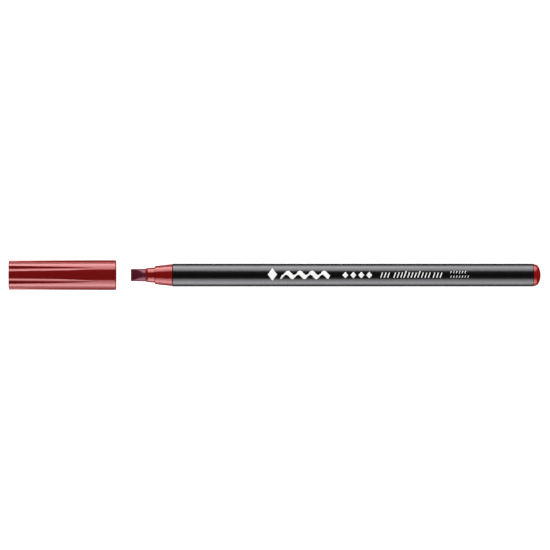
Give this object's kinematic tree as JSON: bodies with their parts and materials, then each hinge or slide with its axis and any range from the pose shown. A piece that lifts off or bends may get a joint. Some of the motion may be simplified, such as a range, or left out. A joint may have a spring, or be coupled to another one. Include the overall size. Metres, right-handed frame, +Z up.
{
  "type": "calligraphy marker",
  "caption": "Fibre-tip calligraphy marker with a square-cut wedge nib, a slim black barrel and a fluted push-on cap that slides off along the pen.",
  "frame": {"origin": "middle of the length and width of the marker with its cap off, on the surface that it lies on", "axes": "+X along the pen from the cap's closed end to the pen's tail, +Z up"},
  "size_m": [0.2234, 0.0124, 0.0125],
  "materials": {
    "cap_plastic": "gloss",
    "seal_plastic": "satin",
    "nib_fibre": "matte",
    "section_plastic": "gloss",
    "barrel_plastic": "satin",
    "reservoir_fibre": "matte",
    "reservoir_film": "gloss",
    "plug_plastic": "gloss",
    "print_ink": "matte"
  },
  "bodies": {
    "pen": {"barrel": "barrel_plastic", "front_section": "section_plastic", "nib": "nib_fibre", "reservoir_core": "reservoir_fibre", "reservoir_film": "reservoir_film", "end_plug": "plug_plastic"},
    "cap": {"cap_shell": "cap_plastic", "seal_cup": "seal_plastic"}
  },
  "joints": [
    {"name": "cap_slide", "type": "slide", "parent": "pen", "child": "cap", "axis": [1, 0, 0], "range_m": [0, 0.0467]}
  ]
}
